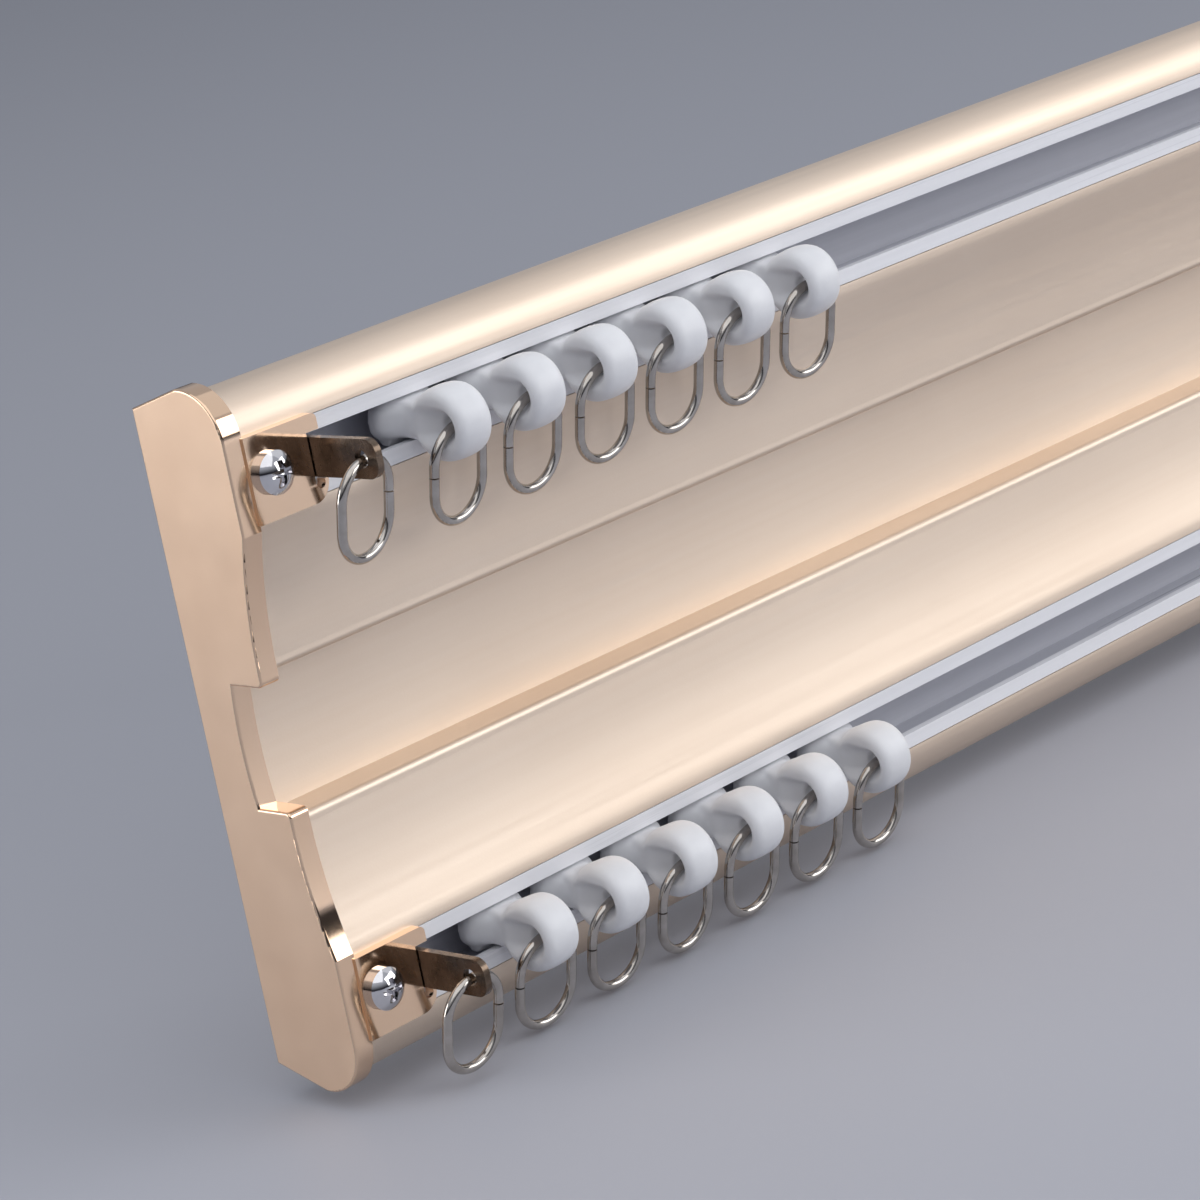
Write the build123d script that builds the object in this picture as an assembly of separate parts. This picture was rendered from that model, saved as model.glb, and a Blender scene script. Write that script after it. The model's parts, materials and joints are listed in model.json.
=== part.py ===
from build123d import *
import os

os.makedirs("parts", exist_ok=True)

# Double ceiling curtain track, lying on its side as it is shown: the room face with
# the two slots looks along -Y, the ceiling face is at y = 0, and X runs along the track.
# All sizes are millimetres. Depths are measured from the ceiling face.

# Overall
track_length = 600.0
width_at_back = 105.0
slot_inset = 11.8

# Extruded rail
rail_wall = 1.3
rail_face_depth = 18.2
hump_crest_depth = 10.7
hump_crest_rise = 3.1
hump_crest_radius = 3.0
hump_front_land = 0.6
lobe_tip_depth = 14.9
lobe_tip_z = 12.9
lobe_radius = 1.0
scallop_start_z = 33.2
scallop_foot_radius = 7.0
scallop_middle_depth = 15.9
scallop_middle_z = 23.5
ledge_z = 11.2
band_edge_depth = 7.8
band_middle_depth = 7.1

# Two hooked grooves for the ceiling clips, with a flat land between them
clip_land_width = 18.0
clip_mouth_width = 8.0
clip_undercut = 4.0
clip_lip = 1.4
clip_depth = 5.6

# Track liner, a C channel with two inward lips
liner_width = 11.95
liner_depth = 9.8
liner_wall = 0.9
liner_lip_thickness = 1.6
slot_width = 7.07
liner_gap = 0.12

# End cap and its tabs
cap_overhang = 1.4
cap_plate = 2.0
cap_rim_depth = 3.6
cap_edge_radius = 0.4
cap_fit = 0.12
tab_end = 17.7
tab_lap = 0.2
tab_thickness = 1.8
tab_height = 13.3
tab_corner = 3.3
tab_top_corner = 1.0
notch_depth = 2.5
notch_margin = 0.65
relief_radius = 0.9
relief_drop = 0.4

# Pan-head screw of each tab
screw_x = 7.6
screw_diameter = 4.0
screw_clearance = 0.25
screw_overrun = 1.0
thread_play = 0.05
head_diameter = 6.7
head_height = 2.5
head_dome = 1.5
recess_width = 1.1
recess_span = 3.9
recess_depth = 1.3
recess_taper = 8.0

# Stop bracket, a bent strip with a foot behind the slot's lips
strip_thickness = 1.2
strip_width = 6.1
strip_face_x = 15.4
strip_hole_depth = 31.0
strip_tip = 3.4
strip_corner = 2.2
strip_lift = 0.35
strip_bend_radius = 1.0
foot_start = 3.4
foot_play = 0.35
collar_wall = 1.2
collar_height = 1.8

# Hanging ring, bent from round wire with a butt joint
wire_diameter = 1.6
ring_width = 12.9
ring_length = 17.2
joint_gap = 0.25
joint_drop = 6.8
ring_play = 0.3
hang_angle = 15.0
stop_ring_turns = {"upper": 9.0, "lower": 2.0}
glider_ring_turns = {"upper": (6.0, 3.0, 0.0, 0.0, 0.0, -1.0), "lower": (-1.0, 0.0, 2.0, 0.0, 0.0, 1.0)}

# Glider, drooping a little in the slot's play under its own weight
glider_pitch = 16.1
first_glider_x = {"upper": 38.7, "lower": 35.6}
glider_droop = 6.0
head_depth = 25.7
head_radius = 5.9
head_half_thickness = 3.6
head_edge = 1.3
eye_depth = 26.9
eye_radius = 1.4
eye_land = 0.8
dish_radius = 4.5
neck_thickness = 6.0
neck_width = 6.2
neck_edge = 1.0
shoe_length = 9.0
shoe_thickness = 2.4
shoe_play = 0.75
shoe_edge = 0.6

# Values that follow from the sizes above
slot_offset = width_at_back / 2 - slot_inset
slot_centres = {"upper": slot_offset, "lower": -slot_offset}
near_end = -track_length / 2
far_end = track_length / 2
hump_corner_z = width_at_back / 2 - cap_overhang
lip_depth = rail_face_depth - liner_lip_thickness
slot_middle_depth = rail_face_depth - liner_lip_thickness / 2
liner_back_depth = rail_face_depth - liner_depth
cavity_width = liner_width - 2 * liner_wall
tab_face_depth = rail_face_depth + tab_thickness
foot_back_depth = lip_depth - strip_thickness
strip_hole_radius = wire_diameter / 2 + 2 * ring_play


def section_plane(x):
    """Plane across the track at x, whose local axes are the part's Y and Z."""
    return Plane(origin=(x, 0, 0), x_dir=(0, 1, 0), z_dir=(1, 0, 0))


def face_plane(depth):
    """Plane facing the room at a depth, whose local axes are the part's X and Z."""
    return Plane(origin=(0, -depth, 0), x_dir=(1, 0, 0), z_dir=(0, -1, 0))


def section_box(depth_low, depth_high, z_low, z_high):
    """Rectangle in the track's section, between two depths and two heights."""
    centre = Pos(-(depth_low + depth_high) / 2, (z_low + z_high) / 2)
    return centre * Rectangle(depth_high - depth_low, z_high - z_low)


def along_track(face, x_start, x_end):
    """A section swept straight along the track between two stations."""
    return section_plane(x_start) * extrude(face, x_end - x_start, dir=(0, 0, 1))


# Outer section shared by the rail and its end caps

def half_outline(growth):
    """Upper half of the outer section, grown outwards everywhere but at the ceiling."""
    face_y = -rail_face_depth - growth
    ledge = ledge_z - growth
    corner = (0, hump_corner_z + growth)
    crest = (-hump_crest_depth, hump_corner_z + hump_crest_rise + growth)
    front = (face_y, slot_offset + liner_width / 2 + hump_front_land)
    foot = (face_y, scallop_start_z)
    scallop = (-scallop_middle_depth - growth, scallop_middle_z)
    lobe = (-lobe_tip_depth - growth, lobe_tip_z - growth)
    lobe_start = (lobe[0], ledge + lobe_radius)
    lobe_end = (lobe[0] + lobe_radius, ledge)
    band_edge = (-band_edge_depth - growth, ledge)
    band_middle = (-band_middle_depth - growth, 0)
    edges = [
        Line((0, 0), corner),
        Line(corner, crest),
        TangentArc(front, crest, tangent=(0, 1)),
        Line(front, foot),
        ThreePointArc(foot, scallop, lobe),
        Line(lobe, lobe_start),
        RadiusArc(lobe_start, lobe_end, -lobe_radius),
        Line(lobe_end, band_edge),
        TangentArc(band_middle, band_edge, tangent=(0, 1)),
        Line(band_middle, (0, 0)),
    ]
    half = make_face(Curve() + edges)
    crest_vertex = half.vertices().sort_by_distance(crest)[0]
    return fillet(crest_vertex, hump_crest_radius)


def with_mirror_half(half):
    """The whole outer section, the half joined to its mirror image."""
    return half + mirror(half, Plane.XZ)


# Rail

def liner_pocket(centre, margin):
    """Section of the pocket that a track liner slides into, open to the room face."""
    reach = liner_width / 2 + liner_gap + margin
    back = liner_back_depth - liner_gap - margin
    return section_box(back, 2 * rail_face_depth, centre - reach, centre + reach)


def clip_groove(margin):
    """Section of one hooked groove for the ceiling clips, above the middle land."""
    land = clip_land_width / 2 - margin
    mouth = clip_land_width / 2 + clip_mouth_width
    inner = mouth + clip_undercut + margin
    opening = section_box(-clip_depth, clip_depth, land + margin, mouth)
    return opening + section_box(clip_lip - margin, clip_depth + margin, land, inner)


def clip_grooves(margin):
    """Both grooves, mirrored about the middle of the rail."""
    groove = clip_groove(margin)
    return groove + mirror(groove, Plane.XZ)


def rail_section():
    """The extrusion's section: skin, liner pockets, webs, chambers and clip grooves."""
    half = half_outline(0)
    foot = half.vertices().sort_by_distance((-rail_face_depth, scallop_start_z))[0]
    solid = with_mirror_half(fillet(foot, scallop_foot_radius))
    chambers = offset(solid, -rail_wall, kind=Kind.INTERSECTION) - clip_grooves(rail_wall)
    for centre in slot_centres.values():
        chambers -= liner_pocket(centre, rail_wall)
        for side in (-1, 1):
            web_z = centre + side * (liner_width / 2 + liner_gap + rail_wall / 2)
            chambers -= section_box(0, liner_back_depth, web_z - rail_wall / 2, web_z + rail_wall / 2)
    section = solid - chambers - clip_grooves(0)
    for centre in slot_centres.values():
        section -= liner_pocket(centre, 0)
    return section


def track_liner(centre):
    """C channel that the gliders run in, closed at the back and slotted at the front."""
    reach = liner_width / 2
    half_cavity = cavity_width / 2
    half_slot = slot_width / 2
    outside = section_box(liner_back_depth, rail_face_depth, centre - reach, centre + reach)
    cavity_back = liner_back_depth + liner_wall
    cavity = section_box(cavity_back, lip_depth, centre - half_cavity, centre + half_cavity)
    slot = section_box(cavity_back, 2 * rail_face_depth, centre - half_slot, centre + half_slot)
    return along_track(outside - cavity - slot, near_end + cap_plate, far_end - cap_plate)


# End cap

def cap_tab(centre):
    """Tab over one slot's end, with the screw hole and the notch for the stop bracket."""
    left = near_end + cap_rim_depth - tab_lap
    right = near_end + tab_end
    stop_z = centre + strip_lift
    notch_half = strip_width / 2 + notch_margin
    plate = Pos((left + right) / 2, centre) * Rectangle(right - left, tab_height)
    low_corner = plate.vertices().sort_by(Axis.X)[2:].sort_by(Axis.Y)[0]
    plate = fillet(low_corner, tab_corner)
    high_corner = plate.vertices().sort_by(Axis.X)[-2:].sort_by(Axis.Y)[-1]
    plate = fillet(high_corner, tab_top_corner)
    notch = Pos(right, stop_z) * Rectangle(2 * notch_depth, 2 * notch_half)
    relief_x = right - notch_depth + relief_radius
    relief = Pos(relief_x, stop_z - notch_half - relief_drop) * Circle(relief_radius)
    hole = Pos(near_end + screw_x, stop_z) * Circle(screw_diameter / 2 + screw_clearance)
    outline = plate - notch - relief - hole
    return face_plane(rail_face_depth) * extrude(outline, tab_thickness, dir=(0, 0, 1))


def left_cap():
    """End cap: an outer plate, a rim that grips the rail's end, and two tabs."""
    outside = with_mirror_half(half_outline(cap_overhang))
    inside = with_mirror_half(half_outline(cap_fit))
    shell = along_track(outside, near_end, near_end + cap_rim_depth)
    outer_edges = shell.faces().sort_by(Axis.X)[0].edges()
    shell = fillet(outer_edges, cap_edge_radius)
    cap = shell - along_track(inside, near_end + cap_plate, near_end + 2 * cap_rim_depth)
    for centre in slot_centres.values():
        cap += cap_tab(centre)
    return cap


# Screw, turned about its own axis and driven along +Y through the tab

def left_screw(centre):
    """Pan-head screw with a cross recess, threaded into the bracket's collar."""
    rim_radius = head_diameter / 2
    shank_radius = screw_diameter / 2
    shank_end = tab_face_depth - foot_back_depth + collar_height + screw_overrun
    dome_radius = (rim_radius**2 + head_dome**2) / (2 * head_dome)
    crown = (0, head_height)
    shoulder = (rim_radius, head_height - head_dome)
    profile = Curve() + [
        Line((0, -shank_end), (shank_radius, -shank_end)),
        Line((shank_radius, -shank_end), (shank_radius, 0)),
        Line((shank_radius, 0), (rim_radius, 0)),
        Line((rim_radius, 0), shoulder),
        RadiusArc(shoulder, crown, -dome_radius),
        Line(crown, (0, -shank_end)),
    ]
    body = revolve(Plane.XZ * make_face(profile), Axis.Z)
    slot = Rectangle(recess_span, recess_width) + Rectangle(recess_width, recess_span)
    recess = extrude(Pos(0, 0, head_height) * slot, -recess_depth, taper=recess_taper)
    stop_z = centre + strip_lift
    place = Plane(origin=(near_end + screw_x, -tab_face_depth, stop_z), x_dir=(1, 0, 0), z_dir=(0, -1, 0))
    return place * (body - recess)


# Stop bracket

def left_bracket(centre):
    """Strip bent square: a foot clamped behind the lips, an arm out of the slot with an eye."""
    stop_z = centre + strip_lift
    hole_depth = strip_hole_depth
    foot_left = near_end + foot_start
    arm_left = near_end + strip_face_x
    arm_right = arm_left + strip_thickness
    foot_width = cavity_width - 2 * foot_play
    tip_depth = hole_depth + strip_tip
    foot = Pos((foot_left + arm_right) / 2, -(lip_depth + foot_back_depth) / 2)
    arm = Pos((arm_left + arm_right) / 2, -(foot_back_depth + tip_depth) / 2)
    bend = foot * Rectangle(arm_right - foot_left, strip_thickness)
    bend += arm * Rectangle(strip_thickness, tip_depth - foot_back_depth)
    outer = bend.vertices().sort_by_distance((arm_right, -foot_back_depth))[0]
    bend = fillet(outer, strip_bend_radius)
    strip = Pos(0, 0, centre) * extrude(bend, foot_width / 2, both=True, dir=(0, 0, 1))
    arm_outline = section_box(lip_depth, tip_depth, stop_z - strip_width / 2, stop_z + strip_width / 2)
    arm_outline = fillet(arm_outline.vertices().sort_by(Axis.X)[:2], strip_corner)
    foot_outline = section_box(0, lip_depth, centre - foot_width / 2, centre + foot_width / 2)
    blank = arm_outline + foot_outline - Pos(-hole_depth, stop_z) * Circle(strip_hole_radius)
    strip &= along_track(blank, foot_left, arm_right)
    collar_radius = screw_diameter / 2 + collar_wall
    thread_radius = screw_diameter / 2 + thread_play
    screw_axis = Pos(near_end + screw_x, stop_z)
    collar_base = face_plane(foot_back_depth - collar_height)
    collar = collar_base * extrude(screw_axis * Circle(collar_radius), collar_height)
    bore = face_plane(0) * extrude(screw_axis * Circle(thread_radius), rail_face_depth)
    return strip + collar - bore


# Ring

def ring_at(pivot, hole_radius, joint_side, turn):
    """Oval wire ring through an eye along X, hanging and turned as it is shown."""
    half_width = (ring_width - wire_diameter) / 2
    top = -(hole_radius - wire_diameter / 2 - ring_play)
    shoulder = top - half_width
    low = top - (ring_length - wire_diameter)
    hip = low + half_width
    joint = top - joint_drop
    side = joint_side * half_width
    path = Curve() + [
        Line((side, joint - joint_gap / 2), (side, hip)),
        ThreePointArc((side, hip), (0, low), (-side, hip)),
        Line((-side, hip), (-side, shoulder)),
        ThreePointArc((-side, shoulder), (0, top), (side, shoulder)),
        Line((side, shoulder), (side, joint + joint_gap / 2)),
    ]
    wire = Plane.XZ * path
    start = Plane(origin=wire.wires()[0] @ 0, z_dir=wire.wires()[0] % 0)
    ring = sweep(start * Circle(wire_diameter / 2), path=wire.wires()[0])
    return Pos(*pivot) * Rot(hang_angle, 0, 0) * Rot(0, 0, turn) * ring


# Glider

def glider_place(x, centre):
    """Where a glider sits: on the track at x, turned down about the slot's middle."""
    slot_middle = Pos(x, -slot_middle_depth, centre)
    return slot_middle * Rot(glider_droop, 0, 0) * Pos(0, slot_middle_depth, 0)


def glider():
    """One moulded piece: a shoe in the channel, a neck through the slot, a head with an eye."""
    half = head_half_thickness
    head_circle = Pos(-head_depth, 0) * Circle(head_radius)
    eye_circle = Pos(-eye_depth, 0) * Circle(eye_radius)
    dish_circle = Pos(-head_depth, 0) * Circle(dish_radius)
    head = along_track(head_circle, -half, half)
    head = fillet(head.edges().filter_by(GeomType.CIRCLE), head_edge)
    neck_end = lip_depth - shoe_play
    neck_face = RectangleRounded(neck_thickness, neck_width, neck_edge)
    neck = face_plane(neck_end) * extrude(neck_face, head_depth - neck_end)
    eye = along_track(eye_circle, -eye_land, eye_land)
    for side in (-1, 1):
        eye += loft([section_plane(side * half) * dish_circle, section_plane(side * eye_land) * eye_circle])
    shoe_width = cavity_width - 2 * shoe_play
    shoe_face = Rectangle(shoe_length, shoe_width)
    shoe = face_plane(neck_end - shoe_thickness) * extrude(shoe_face, shoe_thickness)
    shoe = fillet(shoe.edges(), shoe_edge)
    return head + neck + shoe - eye


def write(name, solid):
    """Save one piece under its own name."""
    export_step(solid, f"parts/{name}.step")


def to_far_end(solid):
    """The same piece at the other end of the track."""
    return mirror(solid, Plane.YZ)


write("rail", along_track(rail_section(), near_end + cap_plate, far_end - cap_plate))

cap = left_cap()
write("end_cap_left", cap)
write("end_cap_right", to_far_end(cap))

for track, centre in slot_centres.items():
    write(f"liner_{track}", track_liner(centre))
    stop_eye = (near_end + strip_face_x + strip_thickness / 2, -strip_hole_depth, centre + strip_lift)
    stop_turn = stop_ring_turns[track]
    end_pieces = {
        "cap_screw": left_screw(centre),
        "stop_bracket": left_bracket(centre),
        "stop_ring": ring_at(stop_eye, strip_hole_radius, 1, stop_turn),
    }
    for name, solid in end_pieces.items():
        write(f"{name}_{track}_left", solid)
        write(f"{name}_{track}_right", to_far_end(solid))
    for index, turn in enumerate(glider_ring_turns[track]):
        place = glider_place(near_end + first_glider_x[track] + index * glider_pitch, centre)
        eye = (place * Pos(0, -eye_depth, 0)).position
        write(f"glider_{track}_{index + 1}", place * glider())
        write(f"ring_{track}_{index + 1}", ring_at(eye, eye_radius, -1, turn))
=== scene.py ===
import json
import math

import bmesh
import bpy
from mathutils import Matrix, Vector

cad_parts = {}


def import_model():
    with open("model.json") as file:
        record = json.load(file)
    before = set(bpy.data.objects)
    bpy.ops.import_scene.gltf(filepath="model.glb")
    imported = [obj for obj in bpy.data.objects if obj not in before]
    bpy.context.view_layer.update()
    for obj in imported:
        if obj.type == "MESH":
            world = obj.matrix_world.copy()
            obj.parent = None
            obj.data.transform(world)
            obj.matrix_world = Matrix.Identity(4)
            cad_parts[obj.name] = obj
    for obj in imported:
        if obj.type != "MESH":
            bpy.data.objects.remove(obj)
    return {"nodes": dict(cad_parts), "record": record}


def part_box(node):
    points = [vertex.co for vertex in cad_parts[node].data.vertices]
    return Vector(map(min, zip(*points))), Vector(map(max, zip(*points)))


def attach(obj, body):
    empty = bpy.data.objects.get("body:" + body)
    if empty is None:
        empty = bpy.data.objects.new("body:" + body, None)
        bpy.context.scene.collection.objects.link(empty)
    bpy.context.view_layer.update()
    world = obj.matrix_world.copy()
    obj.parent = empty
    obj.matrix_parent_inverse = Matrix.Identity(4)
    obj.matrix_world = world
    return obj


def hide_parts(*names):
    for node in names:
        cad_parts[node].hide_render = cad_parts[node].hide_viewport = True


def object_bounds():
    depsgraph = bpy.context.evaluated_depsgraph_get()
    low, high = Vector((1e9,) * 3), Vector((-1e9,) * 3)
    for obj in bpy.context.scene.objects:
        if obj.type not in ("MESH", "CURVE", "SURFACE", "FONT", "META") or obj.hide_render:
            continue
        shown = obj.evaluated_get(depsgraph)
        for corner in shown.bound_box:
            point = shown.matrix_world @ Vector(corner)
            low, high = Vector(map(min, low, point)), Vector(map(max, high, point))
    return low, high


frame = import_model()
cad_low, cad_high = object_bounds()

MM = 0.001

# Photograph: its size, and the camera fitted to it, in the frame's metres
PHOTO_SIZE = 1200
PHOTO_FOCAL = 4058.3
SENSOR_WIDTH = 36.0
CAMERA_CLIP = (0.01, 50.0)
CAMERA_PLACE = Vector((-0.65417, -0.47473, 0.16625))
CAMERA_RIGHT = Vector((0.68704728, -0.70260707, -0.18522782))
CAMERA_DOWN = Vector((-0.31142176, -0.05441667, -0.94871245))
CAMERA_FORWARD = Vector((0.65649259, 0.70949428, -0.25619395))


# Materials

# The liner is white up to its lips' inner face, and painted grey behind it as shade inside the
# channel
LIP_BACK = -16.6 * MM
LIP_BLEND = 0.2 * MM
# Share of a normal's X at which the cap counts as an end face, and the roughness that this adds
END_FACING = (0.8, 1.0)
END_SATIN = 0.26


class Nodes:
    """A material's node tree, with short calls for the nodes that the looks share."""

    def __init__(self, name):
        self.material = bpy.data.materials.new(name)
        self.material.use_nodes = True
        self.tree = self.material.node_tree
        self.shader = self.tree.nodes["Principled BSDF"]
        coordinates = self.add("ShaderNodeTexCoord")
        self.place = coordinates.outputs["Object"]
        self.normal = coordinates.outputs["Normal"]

    def add(self, kind, **values):
        node = self.tree.nodes.new(kind)
        for key, value in values.items():
            setattr(node, key, value)
        return node

    def link(self, source, target):
        self.tree.links.new(source, target)

    def to(self, value, socket):
        self.link(value, self.shader.inputs[socket])

    def set(self, **values):
        """Constants straight on the shader's sockets."""
        for key, value in values.items():
            self.shader.inputs[key.replace("_", " ")].default_value = value

    def noise(self, scale, detail=3.0, stretch=(1, 1, 1)):
        mapping = self.add("ShaderNodeMapping")
        mapping.inputs["Scale"].default_value = stretch
        self.link(self.place, mapping.inputs["Vector"])
        node = self.add("ShaderNodeTexNoise")
        node.inputs["Scale"].default_value = scale
        node.inputs["Detail"].default_value = detail
        self.link(mapping.outputs["Vector"], node.inputs["Vector"])
        return node.outputs["Fac"]

    def part(self, vector, axis):
        """One part of a vector: X, Y or Z."""
        node = self.add("ShaderNodeSeparateXYZ")
        self.link(vector, node.inputs["Vector"])
        return node.outputs[axis]

    def calculate(self, operation, *values):
        node = self.add("ShaderNodeMath", operation=operation)
        for value, socket in zip(values, node.inputs):
            self.link(value, socket)
        return node.outputs[0]

    def ramp(self, value, low, high, start=0.3, end=0.7):
        """Maps a value between two stops onto two colours or two numbers."""
        if isinstance(low, float):
            node = self.add("ShaderNodeMapRange")
            stops = {"From Min": start, "From Max": end, "To Min": low, "To Max": high}
            for name, number in stops.items():
                node.inputs[name].default_value = number
            self.link(value, node.inputs["Value"])
            return node.outputs["Result"]
        node = self.add("ShaderNodeValToRGB")
        for element, position, colour in zip(node.color_ramp.elements, (start, end), (low, high)):
            element.position, element.color = position, (*colour, 1)
        self.link(value, node.inputs["Fac"])
        return node.outputs["Color"]

    def blend(self, share, first, second):
        """The first colour where the share is 0 and the second where it is 1."""
        node = self.add("ShaderNodeMix", data_type="RGBA")
        for value, socket in ((share, "Factor"), (first, "A"), (second, "B")):
            self.link(value, node.inputs[socket])
        return node.outputs["Result"]

    def bump(self, height, strength, distance):
        node = self.add("ShaderNodeBump")
        node.inputs["Strength"].default_value = strength
        node.inputs["Distance"].default_value = distance
        self.link(height, node.inputs["Height"])
        self.to(node.outputs["Normal"], "Normal")


def anodised_rail():
    """Satin champagne anodised aluminium, with faint extrusion lines along X."""
    n = Nodes("anodised_champagne")
    n.set(Metallic=1.0, Coat_Weight=0.25, Coat_Roughness=0.45)
    clouds = n.noise(14.0, 2.0)
    streaks = n.noise(900.0, 4.0, (0.012, 1, 1))
    grain = n.noise(2600.0, 2.0)
    n.to(n.ramp(clouds, (0.76, 0.63, 0.515), (0.80, 0.675, 0.56)), "Base Color")
    n.to(n.ramp(streaks, 0.50, 0.58), "Roughness")
    n.bump(n.calculate("ADD", streaks, grain), 0.05, 0.0002)
    return n.material


def white_liner():
    """Plastic of the slots' liners: white lips, with painted shade in grey inside the channel."""
    n = Nodes("liner_white")
    streaks = n.noise(700.0, 3.0, (0.01, 1, 1))
    lips = n.ramp(streaks, (0.76, 0.76, 0.79), (0.82, 0.82, 0.85))
    # painted shade: the channel behind the lips is painted grey instead of white
    painted_shade_inside = n.ramp(streaks, (0.50, 0.505, 0.56), (0.55, 0.555, 0.61))
    painted_shade_share = n.ramp(n.part(n.place, "Y"), 0.0, 1.0, LIP_BACK - LIP_BLEND, LIP_BACK)
    n.to(n.blend(painted_shade_share, lips, painted_shade_inside), "Base Color")
    n.to(n.ramp(streaks, 0.26, 0.36), "Roughness")
    n.bump(streaks, 0.05, 0.0002)
    return n.material


def plated_cap():
    """Champagne-gold plating of the end caps: polished, and satin on the end faces."""
    n = Nodes("plated_champagne")
    n.set(Metallic=1.0)
    n.to(n.ramp(n.noise(60.0), (0.85, 0.60, 0.42), (0.88, 0.64, 0.46)), "Base Color")
    facing = n.calculate("ABSOLUTE", n.part(n.normal, "X"))
    satin = n.ramp(facing, 0.0, END_SATIN, *END_FACING)
    n.to(n.calculate("ADD", satin, n.ramp(n.noise(120.0, 2.0), 0.06, 0.11)), "Roughness")
    n.bump(n.noise(90.0, 1.0), 0.04, 0.0008)
    return n.material


def bright_metal(name, dark, bright, roughness, grain):
    """Metal with a fine uneven gloss, for the rings and screws."""
    n = Nodes(name)
    n.set(Metallic=1.0)
    n.to(n.ramp(n.noise(400.0), dark, bright), "Base Color")
    n.to(n.ramp(n.noise(900.0), *roughness), "Roughness")
    n.bump(n.noise(grain, 2.0), 0.06, 0.0001)
    return n.material


def bronze_strip():
    """Dark bronze finish of the stop brackets, rubbed a little brighter in places."""
    n = Nodes("bracket_bronze")
    n.set(Metallic=1.0)
    n.to(n.ramp(n.noise(300.0), (0.10, 0.072, 0.052), (0.20, 0.15, 0.115)), "Base Color")
    n.to(n.ramp(n.noise(700.0), 0.20, 0.32), "Roughness")
    n.bump(n.noise(1200.0), 0.08, 0.0001)
    return n.material


def moulded_glider():
    """Translucent white moulded plastic."""
    n = Nodes("glider_plastic")
    n.set(Subsurface_Weight=0.45, Subsurface_Scale=0.003, IOR=1.48)
    n.set(Subsurface_Radius=(1.0, 1.0, 1.0))
    n.to(n.ramp(n.noise(200.0), (0.71, 0.715, 0.74), (0.77, 0.775, 0.795)), "Base Color")
    n.to(n.ramp(n.noise(500.0), 0.36, 0.48), "Roughness")
    n.bump(n.noise(1500.0), 0.06, 0.0002)
    return n.material


CHROME = ((0.66, 0.65, 0.67), (0.76, 0.75, 0.77), (0.05, 0.10), 900.0)
NICKEL = ((0.42, 0.385, 0.35), (0.55, 0.515, 0.48), (0.08, 0.14), 1600.0)

MATERIALS = {
    "rail": anodised_rail(),
    "liner": white_liner(),
    "end_cap": plated_cap(),
    "cap_screw": bright_metal("screw_chrome", *CHROME),
    "stop_bracket": bronze_strip(),
    "ring": bright_metal("ring_nickel", *NICKEL),
    "glider": moulded_glider(),
}


def paint(mesh, material):
    mesh.materials.clear()
    mesh.materials.append(material)


for part in frame["record"]["subparts"]:
    paint(frame["nodes"][part["node"]].data, MATERIALS[part["material_slot"]])


# Gliders: one smooth moulded form, which stands for all twelve plain solids

# The CAD glider: where it turns, its droop, and its head and eye
SLOT_MIDDLE_DEPTH = 17.4 * MM
GLIDER_DROOP = math.radians(6.0)
HEAD_DEPTH = 25.7 * MM
HEAD_RADIUS = 5.9 * MM
HEAD_HALF_THICKNESS = 3.6 * MM
EYE_DEPTH = 26.9 * MM
# Inside this radius the skin round the eye stays as the CAD has it
EYE_EDGE = 1.5 * MM
# The hollow from the neck to the eye: half the thickness left at the eye and at the neck, its
# length, and how far from its middle line its sides begin and end
HOLLOW_AT_EYE = 1.2 * MM
HOLLOW_AT_NECK = 3.0 * MM
HOLLOW_LENGTH = 6.5 * MM
HOLLOW_SIDES = (1.4 * MM, 3.3 * MM)
# The head's flat faces, and the crown that the rim outside them gets
FACE_RADIUS = 4.7 * MM
CROWN = 0.08
CROWN_START = 0.6
# The neck's depth, half width across the slot and half thickness along the track, in mm
NECK_STATIONS = (
    (13.4, 4.0, 6.3), (15.2, 3.9, 6.4), (16.0, 3.5, 6.2), (16.8, 3.2, 5.4),
    (17.6, 3.15, 4.5), (18.4, 3.15, 3.8), (19.2, 3.25, 3.3), (20.0, 3.6, 3.1),
    (21.0, 4.3, 3.0), (22.0, 4.8, 2.9), (23.2, 5.0, 2.8),
)
NECK_SIDES = 40
NECK_SQUARENESS = 2.6
WELD = 1e-6
VOXEL = 0.35 * MM
SOFTENING = ("SMOOTH", {"iterations": 6})
BLENDING = ("REMESH", {"mode": "VOXEL", "voxel_size": VOXEL})


def glider_place(x, centre):
    """Where the CAD puts a glider: at x on its track, turned down about the slot's middle."""
    to_slot = Matrix.Translation((x, -SLOT_MIDDLE_DEPTH, centre))
    droop = Matrix.Rotation(GLIDER_DROOP, 4, "X")
    return to_slot @ droop @ Matrix.Translation((0, SLOT_MIDDLE_DEPTH, 0))


def neck_point(k, depth, half_z, half_x):
    """Point k of the neck's rounded square at one depth."""
    angle = 2 * math.pi * k / NECK_SIDES
    x, z = (math.copysign(abs(share) ** (2 / NECK_SQUARENESS), share)
            for share in (math.cos(angle), math.sin(angle)))
    return x * half_x * MM, -depth * MM, z * half_z * MM


def add_neck(shape):
    """A spool-shaped neck that flares into the head, as a closed loft."""
    rings = [
        [shape.verts.new(neck_point(k, *station)) for k in range(NECK_SIDES)]
        for station in NECK_STATIONS
    ]
    for low, high in zip(rings, rings[1:]):
        for k in range(NECK_SIDES):
            following = (k + 1) % NECK_SIDES
            shape.faces.new((low[k], low[following], high[following], high[k]))
    shape.faces.new(reversed(rings[0]))
    shape.faces.new(rings[-1])


def clamped(value):
    return min(max(value, 0.0), 1.0)


def smooth_step(value, low, high):
    share = clamped((value - low) / (high - low))
    return share * share * (3 - 2 * share)


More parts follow.
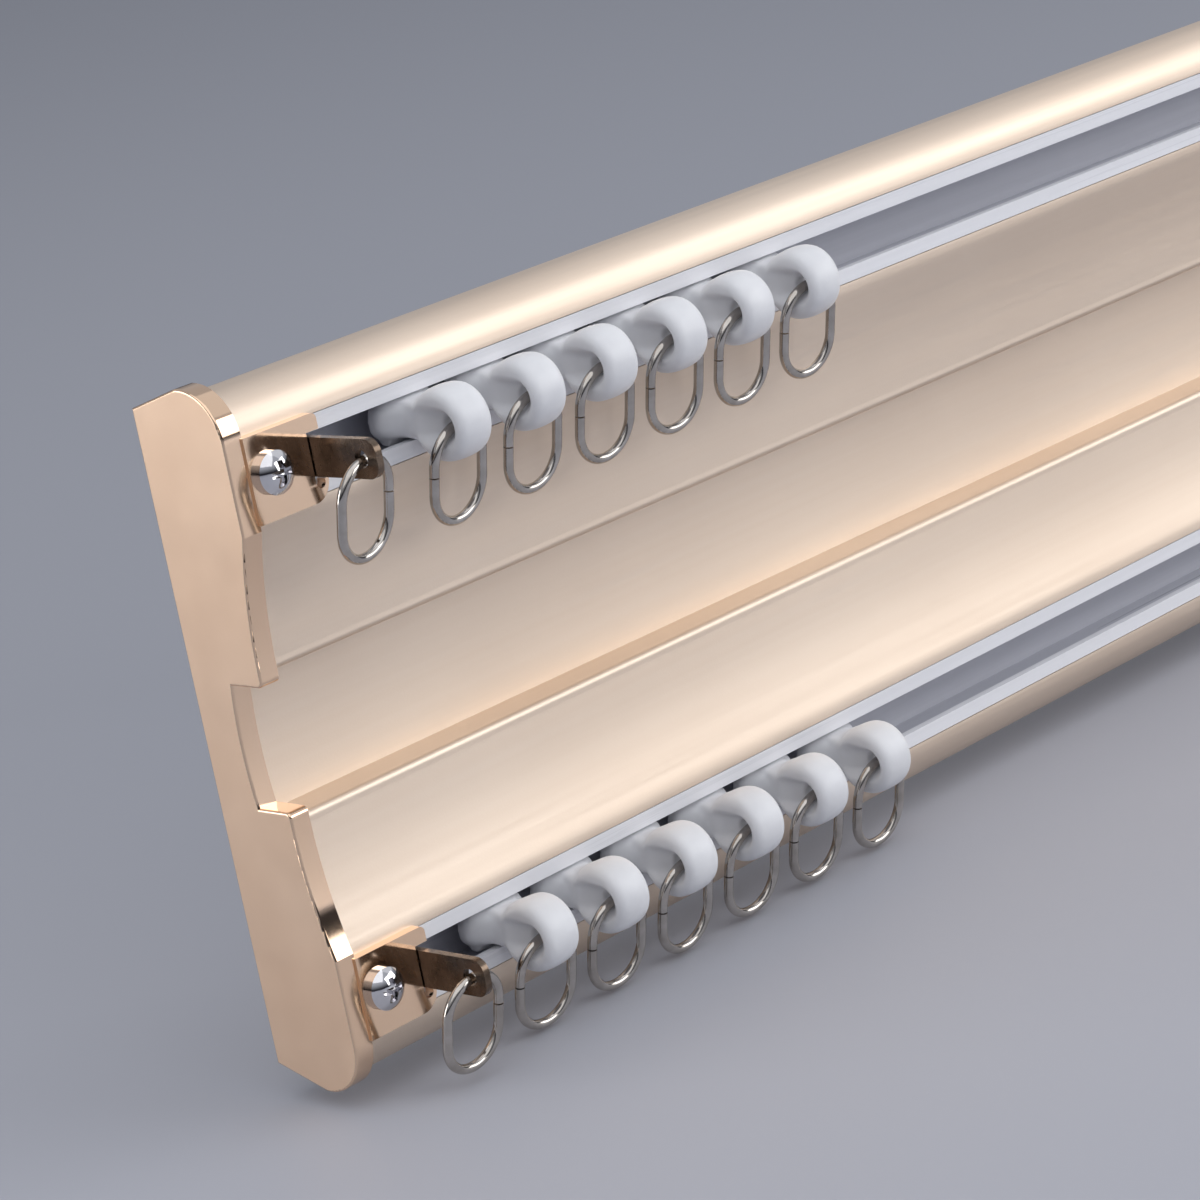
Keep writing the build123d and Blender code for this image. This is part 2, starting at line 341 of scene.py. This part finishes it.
def hollow(depth, z):
    """Half thickness of the head where the hollow runs from the neck to the eye."""
    towards_neck = EYE_DEPTH - depth
    rise = (HOLLOW_AT_NECK - HOLLOW_AT_EYE) * smooth_step(towards_neck, 0, HOLLOW_LENGTH)
    bottom = HOLLOW_AT_EYE + rise
    aside = abs(z) if towards_neck > 0 else math.hypot(towards_neck, z)
    return bottom + (HEAD_HALF_THICKNESS - bottom) * smooth_step(aside, *HOLLOW_SIDES)


def shape_head(form):
    """Cuts the hollow into both faces of the head and crowns its rim."""
    for vertex in form.vertices:
        x, depth, z = vertex.co.x, -vertex.co.y, vertex.co.z
        if depth < HEAD_DEPTH - HEAD_RADIUS:
            continue
        across = Vector((HEAD_DEPTH - depth, z))
        from_eye = math.hypot(EYE_DEPTH - depth, z)
        if from_eye > EYE_EDGE and abs(x) > HOLLOW_AT_EYE / 2:
            limit = hollow(depth, z)
            on_face = across.length < FACE_RADIUS and depth > HEAD_DEPTH - FACE_RADIUS
            vertex.co.x = math.copysign(limit if on_face else min(abs(x), limit), x)
        share = clamped((across.length / HEAD_RADIUS - CROWN_START) / (1 - CROWN_START))
        across *= 1 - CROWN * share * (vertex.co.x / HEAD_HALF_THICKNESS) ** 2
        vertex.co.y, vertex.co.z = across.x - HEAD_DEPTH, across.y


def modified(mesh, *modifiers):
    """The mesh with modifiers applied, each a type and its settings."""
    holder = bpy.data.objects.new("working", mesh)
    bpy.context.collection.objects.link(holder)
    for kind, settings in modifiers:
        modifier = holder.modifiers.new(kind.lower(), kind)
        for key, value in settings.items():
            setattr(modifier, key, value)
    evaluated = holder.evaluated_get(bpy.context.evaluated_depsgraph_get())
    result = bpy.data.meshes.new_from_object(evaluated)
    bpy.data.objects.remove(holder)
    return result


def moulded_form(source, place):
    """The CAD glider with a spool neck, as one soft skin with a hollowed, crowned head."""
    shape = bmesh.new()
    shape.from_mesh(source)
    bmesh.ops.remove_doubles(shape, verts=shape.verts, dist=WELD)
    bmesh.ops.transform(shape, matrix=place.inverted(), verts=shape.verts)
    add_neck(shape)
    bmesh.ops.recalc_face_normals(shape, faces=shape.faces)
    rough = bpy.data.meshes.new("glider_rough")
    shape.to_mesh(rough)
    shape.free()
    form = modified(rough, BLENDING, SOFTENING)
    shape_head(form)
    form = modified(form, SOFTENING)
    form.polygons.foreach_set("use_smooth", [True] * len(form.polygons))
    return form


def dress_gliders():
    """The soft form in place of each glider's solid."""
    form = None
    for body, members in frame["record"]["behaviour"]["bodies"].items():
        if not body.startswith("glider_"):
            continue
        node = members[0]
        track = body.split("_")[1]
        low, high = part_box(node)
        liner_low, liner_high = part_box(f"liner_{track}")
        place = glider_place((low[0] + high[0]) / 2, (liner_low[2] + liner_high[2]) / 2)
        if form is None:
            form = moulded_form(frame["nodes"][node].data, place)
        mesh = form.copy()
        mesh.transform(place)
        paint(mesh, MATERIALS["glider"])
        piece = bpy.data.objects.new(f"{node}_moulded", mesh)
        bpy.context.collection.objects.link(piece)
        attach(piece, body)
        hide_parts(node)


dress_gliders()


# Studio

FLOOR_GAP = 0.6 * MM
FLOOR_REACH = 6.0
# The way from the camera over the floor, the distances between which the floor's colour
# changes to painted shade far from the camera, how uneven that border is, and the two colours
FLOOR_AWAY = (0.68, 0.73)
FLOOR_SHADING = (-0.13, 0.05)
FLOOR_UNEVEN = 0.03
FLOOR_NEAR = (0.415, 0.425, 0.475)
FLOOR_FAR_SHADE = (0.34, 0.35, 0.395)

# Each area lamp's place, the point it faces, its two sides in metres and its power in watts
LAMPS = {
    "key": ((-0.6, -0.6, 1.45), (-0.1, 0, 0), (2.2, 2.2), 12.0),
    "top": ((0.8, -0.3, 1.1), (-0.1, 0, 0), (1.3, 1.3), 1.5),
    "fill": ((0.85, -1.3, 0.55), (0, 0, 0), (1.7, 0.9), 15.0),
    "left": ((-1.5, 1.0, 0.25), (-0.3, 0, 0), (1.0, 1.0), 11.0),
}

# The world's height share and colour at its dark horizon and at its pale top
WORLD_STOPS = ((0.08, (0.04, 0.04, 0.05)), (0.42, (0.72, 0.75, 0.82)))
WORLD_STRENGTH = 0.6


def pale_floor():
    """Matt grey-blue floor, paler near the camera and darker far from it with painted shade."""
    n = Nodes("floor_pale")
    away = n.add("ShaderNodeVectorMath", operation="DOT_PRODUCT")
    n.link(n.place, away.inputs[0])
    away.inputs[1].default_value = (*FLOOR_AWAY, 0.0)
    uneven = n.ramp(n.noise(3.0, 2.0), -FLOOR_UNEVEN, FLOOR_UNEVEN)
    distance = n.calculate("ADD", away.outputs["Value"], uneven)
    share = n.ramp(distance, 0.0, 1.0, *FLOOR_SHADING)
    # painted shade: the floor's colour darkens away from the camera
    n.to(n.ramp(share, FLOOR_NEAR, FLOOR_FAR_SHADE, 0.0, 1.0), "Base Color")
    n.set(Roughness=0.55)
    return n.material


def floor():
    """A plain pale floor under the lowest ring."""
    height = cad_low.z - FLOOR_GAP
    corners = ((-1, -1), (1, -1), (1, 1), (-1, 1))
    mesh = bpy.data.meshes.new("floor")
    mesh.from_pydata(
        [(x * FLOOR_REACH, y * FLOOR_REACH, height) for x, y in corners], [], [(0, 1, 2, 3)]
    )
    paint(mesh, pale_floor())
    plane = bpy.data.objects.new("floor", mesh)
    bpy.context.collection.objects.link(plane)


def area_lamp(name, place, target, size, power):
    lamp = bpy.data.lights.new(name, "AREA")
    lamp.shape = "RECTANGLE"
    lamp.size, lamp.size_y = size
    lamp.energy = power
    holder = bpy.data.objects.new(name, lamp)
    holder.location = place
    facing = Vector(target) - Vector(place)
    holder.rotation_euler = facing.to_track_quat("-Z", "Y").to_euler()
    bpy.context.collection.objects.link(holder)


def world():
    """A sky that is dark at the horizon and pale overhead."""
    sky = bpy.data.worlds.new("studio")
    sky.use_nodes = True
    nodes, links = sky.node_tree.nodes, sky.node_tree.links
    direction = nodes.new("ShaderNodeTexCoord")
    height = nodes.new("ShaderNodeSeparateXYZ")
    ramp = nodes.new("ShaderNodeValToRGB")
    background = nodes["Background"]
    for element, (position, colour) in zip(ramp.color_ramp.elements, WORLD_STOPS):
        element.position, element.color = position, (*colour, 1)
    links.new(direction.outputs["Generated"], height.inputs["Vector"])
    links.new(height.outputs["Z"], ramp.inputs["Fac"])
    links.new(ramp.outputs["Color"], background.inputs["Color"])
    background.inputs["Strength"].default_value = WORLD_STRENGTH
    bpy.context.scene.world = sky


def camera():
    """The photograph's camera."""
    lens = bpy.data.cameras.new("camera")
    lens.sensor_width = SENSOR_WIDTH
    lens.lens = PHOTO_FOCAL / PHOTO_SIZE * SENSOR_WIDTH
    lens.clip_start, lens.clip_end = CAMERA_CLIP
    holder = bpy.data.objects.new("camera", lens)
    turn = Matrix((CAMERA_RIGHT, -CAMERA_DOWN, -CAMERA_FORWARD)).transposed()
    holder.matrix_world = Matrix.Translation(CAMERA_PLACE) @ turn.to_4x4()
    bpy.context.collection.objects.link(holder)
    bpy.context.scene.camera = holder


floor()
for name, settings in LAMPS.items():
    area_lamp(name, *settings)
world()
camera()
bpy.context.scene.view_settings.view_transform = "Standard"
